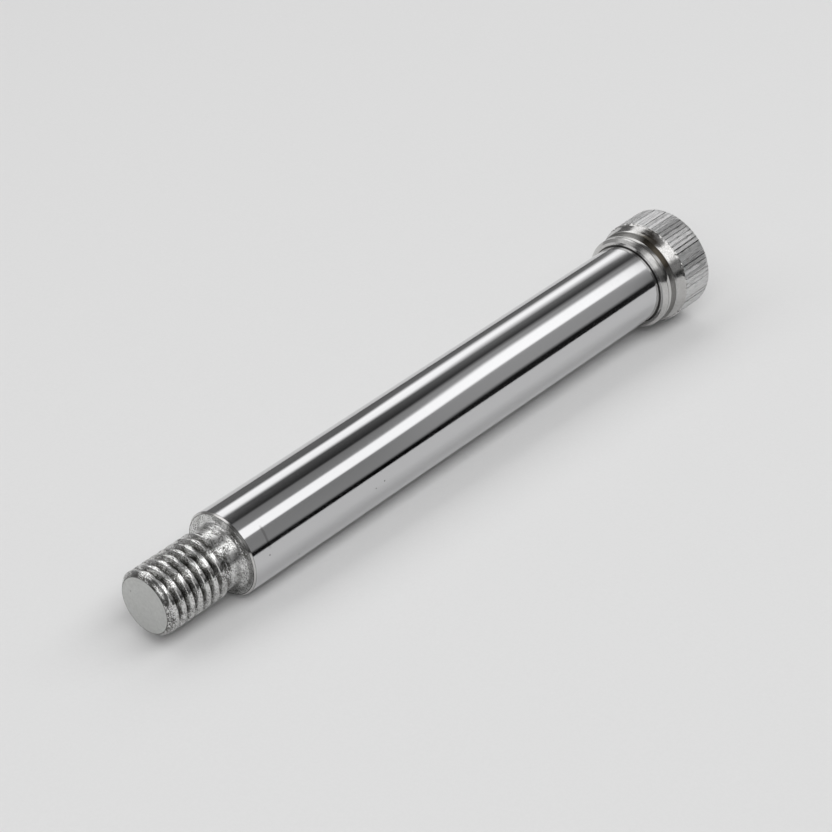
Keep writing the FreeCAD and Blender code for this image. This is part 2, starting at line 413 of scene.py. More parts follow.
@dataclass(frozen=True)
class FacedSteel(Steel):
    """Steel faced off square and left matte.

    The end of the thread is an even grey with fine rings from the tool, and
    one small pit. The rings are drawn coarser than real, so that they show.
    """

    name: str = "steel_faced_matte"
    colour: str = "#D2D3D1"
    roughness: float = 0.5
    ring_spacing: float = 0.16
    pit: tuple[float, float, float] = (2.585, -1.146, 115.1)
    pit_radius: float = 0.16
    dark_colour: str = "#3A3A38"
    mottle: float = 0.5
    depth: float = 0.012

    def mark(self, tree: NodeTree, place: NodeSocket) -> dict[str, Node]:
        """Add the facing rings, a soft mottle and the pit.

        Args:
            tree: The material's tree.
            place: Object coordinates.

        Returns:
            The shader's inputs that the pattern drives, each with its node.
        """
        turned = self.round_the_axis(tree, place, (0.5, 0.0, per_metre(self.ring_spacing)))
        rings = add(tree, Kind.NOISE, turned, 1.0, 1.0)
        mottle = add(tree, Kind.NOISE, place, per_metre(self.mottle), 4.0, 0.65)
        mixed = add(tree, Kind.TIMES_PLUS, rings, 0.5, mottle)
        spot = self.spot(tree, place, self.pit, 0.06, self.pit_radius, 0.55)
        share = add(tree, Kind.RANGE, mixed, 0.45, 1.05, 0.82, 1.0)
        kept = add(tree, Kind.MINUS, share, spot)
        tint = add(tree, Kind.BLEND, kept, linear(self.dark_colour), linear(self.colour))
        bump = add(tree, Kind.BUMP, mixed, 0.4, self.depth * MM)
        return {"Base Color": tint, "Normal": bump}


@dataclass(frozen=True)
class TurnedSteel(Steel):
    """Steel turned bright on a lathe.

    The cone, groove, collar and faces of the head mirror the room in broken
    patches, because the tool leaves slow waves and fine rings. The rings are
    drawn coarser than real, so that they show. A painted shade patch is x, y,
    z and reach: a dark colour painted on where the steel shows shade and dark
    reflections.
    """

    name: str = "steel_turned_bright"
    colour: str = "#DFDEDD"
    dark_colour: str = "#B4B3B1"
    roughness: float = 0.13
    wave: float = 2.0
    wave_depth: float = 0.02
    ring_spacing: float = 0.25
    ring_depth: float = 0.006
    grain: float = 0.2
    painted_shade_patch: tuple[float, float, float, float] | None = None
    painted_shade_colour: str = "#3A3429"
    painted_shade_edge: float = 1.4

    def mark(self, tree: NodeTree, place: NodeSocket) -> dict[str, Node]:
        """Add the slow waves, the tool's rings, a change of gloss and a painted shade patch.

        Args:
            tree: The material's tree.
            place: Object coordinates.

        Returns:
            The shader's inputs that the pattern drives, each with its node.
        """
        waves = add(tree, Kind.NOISE, place, per_metre(self.wave), 2.0)
        turned = self.round_the_axis(
            tree, place, (1.0, per_metre(self.ring_spacing), per_metre(self.ring_spacing)))
        rings = add(tree, Kind.NOISE, turned, 1.0, 2.0)
        grain = add(tree, Kind.NOISE, place, per_metre(self.grain), 2.0)
        rough = add(
            tree, Kind.RANGE, rings, 0.35, 0.65, self.roughness - 0.03, self.roughness + 0.06)
        tint = add(tree, Kind.BLEND, grain, linear(self.dark_colour), linear(self.colour))
        # Painted shade: a dark patch painted on where the turned steel shows shade and dark
        # reflections.
        if self.painted_shade_patch:
            *middle, reach = self.painted_shade_patch
            away = add(tree, Kind.DISTANCE, place, tuple(value * MM for value in middle))
            ragged = add(tree, Kind.TIMES_PLUS, waves, 2.4 * MM, away)
            smear = add(
                tree, Kind.RANGE, ragged, reach * MM, (reach + self.painted_shade_edge) * MM, 0.9, 0.0)
            tint = add(tree, Kind.BLEND, smear, tint, linear(self.painted_shade_colour))
        slow = add(tree, Kind.BUMP, waves, 1.0, self.wave_depth * MM)
        fine = add(tree, Kind.BUMP, rings, 0.6, self.ring_depth * MM, slow)
        return {"Roughness": rough, "Base Color": tint, "Normal": fine}


@dataclass(frozen=True)
class KnurledSteel(Steel):
    """Steel pressed into straight ridges by a knurling wheel.

    The wheel drags along the ridges, so their crests are pale and streaked
    along the axis, and dirt and shade darken the grooves. The streaks are
    drawn coarser than real, so that they show.
    """

    name: str = "steel_knurled_bright"
    colour: str = "#D8D8D8"
    groove_colour: str = "#3A3938"
    roughness: float = 0.4
    streak_width: float = 0.12
    streak_length: float = 1.4
    crest_radius: float = 8.39
    floor_radius: float = 8.2
    streak_share: float = 3.0
    dark_level: float = 1.45
    bright_level: float = 2.35
    depth: float = 0.015

    def mark(self, tree: NodeTree, place: NodeSocket) -> dict[str, Node]:
        """Add streaks along the ridges, and darken the grooves by their depth.

        Args:
            tree: The material's tree.
            place: Object coordinates.

        Returns:
            The shader's inputs that the pattern drives, each with its node.
        """
        along = self.round_the_axis(tree, place, (
            self.crest_radius / self.streak_width, per_metre(self.streak_length), 0.0))
        streaks = add(tree, Kind.NOISE, along, 1.0, 3.0, 0.75)
        high = add(
            tree, Kind.RANGE, from_axis(tree, place), self.floor_radius * MM,
            (self.crest_radius - 0.06) * MM, 0.15, 0.85)
        level = add(tree, Kind.TIMES_PLUS, streaks, self.streak_share, high)
        share = add(tree, Kind.RANGE, level, self.dark_level, self.bright_level, 0.0, 1.0)
        tint = add(tree, Kind.BLEND, share, linear(self.groove_colour), linear(self.colour))
        bump = add(tree, Kind.BUMP, streaks, 0.7, self.depth * MM)
        return {"Base Color": tint, "Normal": bump}


@dataclass(frozen=True)
class BroachedSteel(Steel):
    """Steel cut by a hexagon broach.

    The socket's flats are dull and a little dark, with scores along the way
    the broach went in. The scores are drawn coarser than real, so that they show.
    """

    name: str = "steel_broached_dull"
    colour: str = "#A9A7A3"
    roughness: float = 0.42
    score_width: float = 0.12
    score_length: float = 2.5
    score_depth: float = 0.02
    dark_colour: str = "#7B7975"
    light_colour: str = "#CFCDC9"

    def mark(self, tree: NodeTree, place: NodeSocket) -> dict[str, Node]:
        """Add the broach's scores, long down the socket and narrow across.

        Args:
            tree: The material's tree.
            place: Object coordinates.

        Returns:
            The shader's inputs that the pattern drives, each with its node.
        """
        narrow, tall = per_metre(self.score_width), per_metre(self.score_length)
        across = add(tree, "ShaderNodeMapping", inputs={
            "Vector": place, "Scale": (narrow, narrow, tall)})
        scores = add(tree, Kind.NOISE, across, 1.0, 2.0)
        tint = add(tree, Kind.BLEND, scores, linear(self.dark_colour), linear(self.light_colour))
        bump = add(tree, Kind.BUMP, scores, 0.6, self.score_depth * MM)
        return {"Base Color": tint, "Normal": bump}


@dataclass(frozen=True)
class Ring:
    """One ring of the bolt's surface.

    Attributes:
        height: Distance above the head's end face, in millimetres.
        radius: Radius in millimetres.
        band: Finish of the surface between the ring before and this one.
        section: Shape of the ring across the axis.
        knurled: Whether the ridges of the head shape this ring.
    """

    height: float
    radius: float
    band: Band
    section: Section = Section.ROUND
    knurled: bool = False

    def points(self, flats: float, mouth: float) -> list[Vector]:
        """Return the ring's corners in metres.

        Args:
            flats: Distance across the socket's flats, in millimetres.
            mouth: Radius of the socket's countersink at the head's face.

        Returns:
            One corner, for a ring on the axis, or one for each column.
        """
        if self.radius == 0 and self.section is Section.ROUND:
            return [Vector((0.0, 0.0, self.height * MM))]
        corners = []
        for column in range(COLUMNS):
            angle = 2 * math.pi * column / COLUMNS
            radius, height = self.radius, self.height
            if self.section is not Section.ROUND:
                off = (angle + math.pi / 6) % (math.pi / 3) - math.pi / 6
                radius = flats / 2 / math.cos(off)
            if self.section is Section.MOUTH:
                height = mouth - radius
            corner = Vector((radius * math.cos(angle), radius * math.sin(angle), height))
            corners.append(corner * MM)
        return corners


@dataclass
class Head:
    """Socket, knurled head, cone, groove and collar, with sizes in millimetres."""

    socket_flats: float = 6.0
    socket_depth: float = 5.5
    socket_point: float = 1.732
    mouth_radius: float = 3.614
    radius: float = 8.395
    rim_chamfer: float = 0.45
    knurl_end: float = 6.2
    cone_start: float = 6.45
    cone_radius: float = 8.15
    cone_end: float = 8.1
    cone_end_radius: float = 7.8
    groove_radius: float = 7.25
    groove_end: float = 9.05
    collar_radius: float = 7.6
    collar_chamfer: float = 0.45
    bearing_face: float = 10.7
    relief_radius: float = 6.42
    relief_end: float = 10.74
    edge: float = 0.07
    face_radii: tuple[float, float] = (5.4, 7.3)
    cone_shares: tuple[float, ...] = (0.04, 0.35, 0.68, 0.95)
    hollow: float = 0.66

    def rings(self) -> list[Ring]:
        """List the head's rings, from the bottom of the socket to the shoulder's foot.

        Returns:
            The rings in order along the surface.
        """
        return [*self.socket_rings(), *self.knurl_rings(), *self.collar_rings()]

    def socket_rings(self) -> list[Ring]:
        """List the rings of the socket: drilled point, hexagon and mouth.

        Returns:
            The rings in order along the surface.
        """
        flat = self.socket_flats / 2
        depth = self.socket_depth
        wall = [depth - (depth - 1.0) * share for share in (0.0, *shares(6)[:-1])]
        return [
            Ring(depth + self.socket_point, 0.0, Band.SOCKET),
            Ring(depth + self.socket_point * 0.5, flat * 0.5, Band.SOCKET),
            Ring(depth + 0.02, flat - 0.02, Band.SOCKET),
            *(Ring(height, flat, Band.SOCKET, Section.HEXAGON) for height in wall),
            Ring(0.0, flat, Band.SOCKET, Section.MOUTH),
            Ring(0.03, self.mouth_radius - 0.03, Band.TURNED),
            Ring(0.0, self.mouth_radius + 0.03, Band.TURNED),
            *(Ring(0.0, radius, Band.FACE) for radius in self.face_radii),
        ]

    def knurl_rings(self) -> list[Ring]:
        """List the rings that the ridges shape, from the rim to the cone.

        Returns:
            The rings in order along the surface.
        """
        face_edge = self.radius - self.rim_chamfer
        start, end = self.rim_chamfer + 0.04, self.knurl_end
        rises = [0.04 + (self.rim_chamfer - 0.06) * share for share in shares(6)[:-1]]
        heights = [start, *(start + (end - 0.12 - start) * share for share in shares(9))]
        return [
            Ring(0.0, face_edge - 0.06, Band.FACE),
            Ring(0.02, face_edge + 0.02, Band.TURNED, knurled=True),
            *(Ring(rise, face_edge + rise, Band.KNURL, knurled=True) for rise in rises),
            *(Ring(height, self.radius, Band.KNURL, knurled=True) for height in heights),
            Ring(end - 0.02, self.radius - 0.02, Band.KNURL, knurled=True),
            Ring(end + 0.10, self.radius - 0.12, Band.CONE, knurled=True),
            Ring(self.cone_start, self.cone_radius, Band.CONE),
        ]

    def collar_rings(self) -> list[Ring]:
        """List the plain turned rings: cone, groove, collar and relief.

        Returns:
            The rings in order along the surface.
        """
        edge = self.edge
        turned, painted_shade_band, cone, line = Band.TURNED, Band.PAINTED_SHADE, Band.CONE, Band.LINE
        slope = (self.cone_radius - self.cone_end_radius) / (self.cone_end - self.cone_start)
        rings = []
        for share in self.cone_shares:
            rise = (self.cone_end - self.cone_start) * share
            rings.append(Ring(self.cone_start + rise, self.cone_radius - slope * rise, cone))
        face, collar, chamfer = self.bearing_face, self.collar_radius, self.collar_chamfer
        rings.append(Ring(self.cone_end, self.cone_end_radius - 0.03, cone))
        # The groove is hollow: steep beside the cone and level beside the collar.
        # The groove, its corner by the collar and a thin ring on the collar get painted shade.
        drop = self.cone_end_radius - self.groove_radius - 0.03
        for deep in (math.sin(math.pi / 2 * share) for share in shares(6)):
            height = self.cone_end + self.hollow * deep ** 1.3
            rings.append(Ring(height, self.groove_radius + drop * (1 - deep), painted_shade_band))
        rings += [
            Ring(self.groove_end - 0.16, self.groove_radius, painted_shade_band),
            Ring(self.groove_end - edge * 0.5, self.groove_radius, line),
            Ring(self.groove_end, self.groove_radius + edge, line),
            Ring(self.groove_end + 0.01, collar - edge * 1.2, painted_shade_band),
            Ring(self.groove_end + edge * 0.4, collar - edge * 0.4, turned),
            Ring(self.groove_end + edge * 1.2, collar, turned),
            Ring(face - chamfer - 0.5, collar, turned),
            Ring(face - chamfer - 0.44, collar - 0.05, painted_shade_band),
            Ring(face - chamfer - 0.38, collar, painted_shade_band),
            Ring(face - chamfer, collar, turned),
            Ring(face, collar - chamfer, turned),
            Ring(face, self.relief_radius + 0.3, turned),
            Ring(face, self.relief_radius, line),
            Ring(self.relief_end, self.relief_radius, line),
        ]
        return rings


@dataclass
class Shank:
    """Ground shoulder, its end face and the neck, with sizes in millimetres."""

    radius: float = 6.5
    start: float = 10.78
    end: float = 100.7
    chamfer: float = 0.25
    fillet: float = 0.9
    neck_radius: float = 4.6

    def rings(self, neck_end: float) -> list[Ring]:
        """List the rings from the shoulder's foot to the plain end of the neck.

        Args:
            neck_end: Height at which the thread's own surface takes over.

        Returns:
            The rings in order along the surface.
        """
        radius, end, fillet = self.radius, self.end, self.fillet
        low, high = self.start, end - self.chamfer
        turns = [math.pi / 2 * share for share in shares(10)]
        return [
            Ring(low, radius, Band.LINE),
            *(Ring(low + (high - low) * share, radius, Band.GROUND) for share in shares(40)),
            Ring(high + 0.03, radius - 0.03, Band.LINE),
            Ring(end, radius - self.chamfer, Band.TURNED),
            Ring(end, radius - self.chamfer - 0.08, Band.LINE),
            Ring(end, self.neck_radius + fillet, Band.SATIN),
            *(Ring(end + fillet * (1 - math.cos(turn)),
                   self.neck_radius + fillet * (1 - math.sin(turn)), Band.SATIN) for turn in turns),
            Ring(neck_end, self.neck_radius, Band.SATIN),
        ]


@dataclass
class Tree:
    """A Geometry Nodes tree in the making, with named inputs and their values."""

    name: str
    values: dict[str, object]
    group: NodeTree = field(init=False)
    source: Node = field(init=False)

    KINDS = {float: "NodeSocketFloat", int: "NodeSocketInt", Material: "NodeSocketMaterial"}

    def __post_init__(self) -> None:
        """Make the group, its sockets and its input node."""
        self.group = bpy.data.node_groups.new(self.name, "GeometryNodeTree")
        face = self.group.interface
        face.new_socket("Geometry", in_out="INPUT", socket_type="NodeSocketGeometry")
        for name, value in self.values.items():
            kind = next(socket for cls, socket in self.KINDS.items() if isinstance(value, cls))
            face.new_socket(name, in_out="INPUT", socket_type=kind)
        face.new_socket("Geometry", in_out="OUTPUT", socket_type="NodeSocketGeometry")
        self.source = add(self.group, "NodeGroupInput")

    def given(self, name: str) -> NodeSocket:
        """Return the socket that carries the input of that name."""
        return self.source.outputs[name]

    def finish(self, geometry: Node, material: NodeSocket, chosen: Node | None = None) -> None:
        """End the tree in Realize Instances and Set Material.

        Args:
            geometry: The finished geometry.
            material: The material input.
            chosen: Faces that take the material, or None for all of them.
        """
        real = add(self.group, "GeometryNodeRealizeInstances", inputs={"Geometry": geometry})
        inputs = {"Geometry": real, "Material": material}
        if chosen is not None:
            inputs["Selection"] = chosen
        dressed = add(self.group, "GeometryNodeSetMaterial", inputs=inputs)
        add(self.group, "NodeGroupOutput", inputs={"Geometry": dressed})

    def apply(self, mesh: Mesh) -> Mesh:
        """Run the tree on a mesh and return the result as a plain mesh.

        Args:
            mesh: The mesh that the tree works on; it may be empty.

        Returns:
            A new mesh with the tree's result and no modifier.
        """
        holder = put(self.name + "_holder", mesh)
        modifier = holder.modifiers.new(self.name, "NODES")
        modifier.node_group = self.group
        for item in self.group.interface.items_tree:
            if item.in_out == "INPUT" and item.name in self.values:
                modifier[item.identifier] = self.values[item.name]
        graph = bpy.context.evaluated_depsgraph_get()
        result = bpy.data.meshes.new_from_object(holder.evaluated_get(graph), depsgraph=graph)
        holder.modifiers.remove(modifier)
        bpy.data.objects.remove(holder)
        return result


@dataclass
class Knurl:
    """Straight ridges round the head, with sizes in millimetres.

    Each ridge has four columns of the blank: two at its crest and two at the
    floor of the groove beside it. The grooves differ in width and depth, as a
    worn knurling wheel leaves them.
    """

    ridges: int = 72
    crest_radius: float = 8.39
    deepest: float = 0.22
    shallowest: float = 0.03
    sway: float = 1.0
    lean: float = 0.12
    seed: int = 7
    lean_middle: float = 3.3
    depth_power: float = 1.1
    crest_loss: float = 0.035
    uneven_from: float = 5.7
    uneven_to: float = 6.1
    unevenness: float = 0.09
    finish_end: float = 6.14

    def tree(self, material: Material) -> Tree:
        """Build the tree that presses the ridges into the blank.

        Args:
            material: The knurled finish.

        Returns:
            The tree, ready to apply to the blank.
        """
        tree = Tree("straight_knurl", {
            "Ridges": self.ridges,
            "Crest radius": self.crest_radius * MM,
            "Deepest groove": self.deepest * MM,
            "Shallowest groove": self.shallowest * MM,
            "Sway": math.radians(self.sway),
            "Lean": self.lean,
            "Seed": self.seed,
            "Finish": material,
        })
        group, given = tree.group, tree.given
        column = add(
            group, "GeometryNodeInputNamedAttribute", inputs={"Name": "column"}, data_type="INT")
        weight = add(
            group, "GeometryNodeInputNamedAttribute", inputs={"Name": "knurl"}, data_type="FLOAT")
        per_ridge = COLUMNS // self.ridges
        ridge = add(group, Kind.OVER, column, float(per_ridge))
        ridge = add(group, Kind.FLOOR, ridge)
        corner = add(group, Kind.REST, column, float(per_ridge))
        # Corners 0 and 1 bound the crest, corners 2 and 3 the groove's floor.
        on_floor = add(group, Kind.ABOVE, corner, 1.5)
        second = add(group, Kind.REST, corner, 2.0)
        side = add(group, Kind.TIMES_PLUS, second, 2.0, -1.0)

        chance = {}
        for order, (name, low, high) in enumerate((
            ("depth", 0.0, 1.0), ("crest", 0.8, 1.15), ("floor", 0.3, 0.5),
            ("sway", -0.35, 0.35), ("lean", -1.0, 1.0), ("drop", 0.0, 1.0), ("end", -1.0, 1.0),
        )):
            shifted = add(group, Kind.PLUS, given("Seed"), float(order * 31))
            chance[name] = add(
                group, "FunctionNodeRandomValue", inputs={2: low, 3: high, "ID": ridge,
                "Seed": shifted}, data_type="FLOAT")

        # A crest opens out from its middle and a floor closes in on its own.
        wide = add(group, Kind.TIMES, side, chance["crest"])
        tight = add(group, Kind.TIMES, side, chance["floor"])
        tight = add(group, Kind.TIMES, tight, -1.0)
        spread = add(group, Kind.MIX, on_floor, wide, tight)
        swayed = add(group, Kind.PLUS, spread, chance["sway"])
        turn = add(group, Kind.TIMES, swayed, given("Sway"))

        place = add(group, "GeometryNodeInputPosition")
        parts = add(group, Kind.PARTS, place)
        lean = add(group, Kind.TIMES, chance["lean"], given("Lean"))
        lean = add(group, Kind.TIMES, lean, math.radians(per_metre(1.0)))
        rise = add(group, Kind.MINUS, parts.outputs["Z"], self.lean_middle * MM)
        leaned = add(group, Kind.TIMES_PLUS, rise, lean, turn)
        swing = add(group, Kind.TIMES, leaned, weight)

        # The floor's depth leans towards the deep end; a crest only loses a little.
        power = add(group, Kind.POWER, chance["depth"], self.depth_power)
        depth = add(
            group, Kind.MIX, power, given("Shallowest groove"), given("Deepest groove"))
        loss = add(group, Kind.TIMES, chance["drop"], self.crest_loss * MM)
        cut = add(group, Kind.MIX, on_floor, loss, depth)
        limit = add(group, Kind.MINUS, given("Crest radius"), cut)
        radius = from_axis(group, place)
        pressed = add(group, Kind.LOWEST, radius, limit)
        kept = add(group, Kind.MIX, weight, radius, pressed)
        angle = add(group, Kind.ANGLE, parts.outputs["Y"], parts.outputs["X"])
        angle = add(group, Kind.PLUS, angle, swing)

        # The ridges stop unevenly beside the cone.
        near_end = add(
            group, Kind.RANGE, parts.outputs["Z"], self.uneven_from * MM, self.uneven_to * MM, 0.0,
            1.0)
        uneven = add(group, Kind.TIMES, chance["end"], near_end)
        uneven = add(group, Kind.TIMES, uneven, weight)
        height = add(
            group, Kind.TIMES_PLUS, uneven, self.unevenness * MM, parts.outputs["Z"])
        moved = polar(group, angle, kept, height)
        shaped = add(
            group, "GeometryNodeSetPosition", inputs={"Geometry": given("Geometry"),
            "Selection": weight, "Position": moved})
        near = add(group, Kind.ABOVE, weight, 0.99)
        before = add(group, Kind.BELOW, parts.outputs["Z"], self.finish_end * MM)
        both = add(group, Kind.TIMES, near, before)
        tree.finish(shaped, given("Finish"), both)
        return tree


@dataclass
class Thread:
    """Coarse right-hand thread with its run-out and lead, sizes in millimetres."""

    pitch: float = 1.5
    crest_radius: float = 5.0
    root_radius: float = 4.15
    neck_radius: float = 4.6
    first_groove: float = 103.3
    floor_half: float = 0.01
    ridge_start: float = 103.6
    full_depth: float = 104.8
    lead_start: float = 114.45
    tip: float = 115.0999
    closing: float = 1.0
    rows_per_pitch: int = 18
    softness: float = 0.1
    wear: float = 0.02
    wear_patches: float = 28.0
    wear_length: float = 0.9
    wear_from: float = 0.1
    wear_full: float = 0.5
    plain_end: float = -0.3
    ridge_slope: float = 1.5
    weld: float = 0.001

    def start(self) -> float:
        """Return the height at which the thread's surface takes over from the neck."""
        return self.first_groove - 2 * self.pitch / self.rows_per_pitch

    def end(self) -> float:
        """Return the height at which the tip's cap takes over."""
        return self.tip - 0.06

    def end_radius(self) -> float:
        """Return the radius at the end of the thread's surface."""
        return self.crest_radius - (self.end() - self.lead_start)

    def tree(self, material: Material) -> Tree:
        """Build the tree that makes the threaded surface.

        The surface is a sheet wound round the axis along the thread, so its
        rows follow the ridges. Both ends are cut off square.

        Args:
            material: The rolled finish.

        Returns:
            The tree, ready to apply to an empty mesh.
        """
        step = self.pitch / self.rows_per_pitch
        rows = math.ceil((self.end() - self.start() + self.pitch) / step) + 1
        tree = Tree("rolled_thread", {
            "Columns": COLUMNS + 1,
            "Rows": rows,
            "Row step": step * MM,
            "Pitch": self.pitch * MM,
            "Crest radius": self.crest_radius * MM,
            "Root radius": self.root_radius * MM,
            "Neck radius": self.neck_radius * MM,
            "First groove": self.first_groove * MM,
            "Root half width": self.floor_half * MM,
            "Ridge start": self.ridge_start * MM,
            "Full depth": self.full_depth * MM,
            "Lead start": self.lead_start * MM,
            "Start": self.start() * MM,
            "End": self.end() * MM,
            "Softness": self.softness * MM,
            "Wear": self.wear * MM,
            "Closing": self.closing * MM,
            "Finish": material,
        })
        group, given = tree.group, tree.given
        last = add(group, Kind.MINUS, given("Rows"), 1.0)
        length = add(group, Kind.TIMES, last, given("Row step"))
        sheet = add(
            group, "GeometryNodeMeshGrid", inputs={"Size X": 1.0, "Size Y": length,
            "Vertices X": given("Columns"), "Vertices Y": given("Rows")})
        place = add(group, "GeometryNodeInputPosition")
        parts = add(group, Kind.PARTS, place)
        turn = add(group, Kind.PLUS, parts.outputs["X"], 0.5)
        half = add(group, Kind.TIMES, length, 0.5)
        row = add(group, Kind.PLUS, parts.outputs["Y"], half)
        below = add(group, Kind.MINUS, turn, 1.0)
        climb = add(group, Kind.TIMES, below, given("Pitch"))
        rise = add(group, Kind.PLUS, row, climb)
        free = add(group, Kind.PLUS, rise, given("Start"))
        height = add(
            group, "ShaderNodeClamp", inputs={"Value": free, "Min": given("Start"),
            "Max": given("End")})

        # Distance from the middle of the nearest turn of the groove.
        wound = add(group, Kind.TIMES_PLUS, turn, given("Pitch"), given("First groove"))
        along = add(group, Kind.MINUS, height, wound)
        half_pitch = add(group, Kind.TIMES, given("Pitch"), 0.5)
        off = add(group, Kind.FOLD, along, half_pitch)

        # The groove fades out on the neck: its floor comes up to the neck's radius.
        fade = add(
            group, Kind.SOFT_RANGE, height, given("Ridge start"), given("Full depth"),
            given("Neck radius"), given("Root radius"))

        # The flanks rise from the root at thirty degrees to the radius.
        out = add(group, Kind.MINUS, off, given("Root half width"))
        flank = add(group, Kind.TIMES_PLUS, out, math.sqrt(3), given("Root radius"))
        rooted = add(group, Kind.SOFT_HIGHEST, flank, fade, given("Softness"))
        crested = add(
            group, Kind.SOFT_LOWEST, rooted, given("Crest radius"), given("Softness"))

        # The first ridge climbs out of the neck.
        past = add(group, Kind.MINUS, height, given("Ridge start"))
        back = add(group, Kind.TIMES_PLUS, past, self.ridge_slope, given("Neck radius"))
        shoulder = add(
            group, Kind.SOFT_HIGHEST, back, given("Neck radius"), given("Softness"))
        raised = add(group, Kind.SOFT_LOWEST, crested, shoulder, given("Softness"))

        # Wear takes a little off, less at both ends of the surface.
        in_metres = add(group, Kind.JOIN, turn, height, 0.0)
        stretch = (self.wear_patches, per_metre(self.wear_length), 1.0)
        stretched = add(group, Kind.STRETCH, in_metres, stretch)
        patches = add(group, Kind.NOISE, stretched, 1.0, 2.0)
        lost = add(group, Kind.TIMES, patches, given("Wear"))
        inside = add(
            group, Kind.RANGE, past, self.wear_from * MM, self.wear_full * MM, 0.0, 1.0)
        lost = add(group, Kind.TIMES, lost, inside)
        worn = add(group, Kind.MINUS, raised, lost)

        # The lead at the tip is a cone that closes the groove before the end.
        over = add(group, Kind.MINUS, height, given("Lead start"))
        lead = add(group, Kind.MINUS, given("Crest radius"), over)
        lead = add(group, Kind.LOWEST, lead, given("Crest radius"))
        led = add(group, Kind.SOFT_LOWEST, worn, lead, given("Softness"))
        left = add(group, Kind.MINUS, given("End"), height)
        closed = add(group, Kind.SOFT_RANGE, left, 0.0, given("Closing"), 1.0, 0.0)
        square = add(group, Kind.MIX, closed, led, lead)
        plain = add(
            group, Kind.SOFT_RANGE, past, self.plain_end * MM, -self.wear_from * MM, 0.0, 1.0)
        radius = add(group, Kind.MIX, plain, given("Neck radius"), square)

        angle = add(group, Kind.TIMES, turn, 2 * math.pi)
        corner = polar(group, angle, radius, height)
        wrapped = add(
            group, "GeometryNodeSetPosition", inputs={"Geometry": sheet, "Position": corner})
        welded = add(
            group, "GeometryNodeMergeByDistance", inputs={"Geometry": wrapped,
            "Distance": self.weld * MM})
        tree.finish(welded, given("Finish"))
        return tree

    def cap_rings(self) -> list[Ring]:
        """List the rings that close the tip, from the thread's surface to the axis.

        Returns:
            The rings in order along the surface.
        """
        radius = self.end_radius()
        return [
            Ring(self.end(), radius, Band.ROLLED),
            Ring(self.tip - 0.02, radius - 0.04, Band.ROLLED),
            Ring(self.tip, radius - 0.13, Band.LINE),
            Ring(self.tip, radius * 0.8, Band.SAWN),
            Ring(self.tip, radius * 0.4, Band.SAWN),
            Ring(self.tip, 0.0, Band.SAWN),
        ]


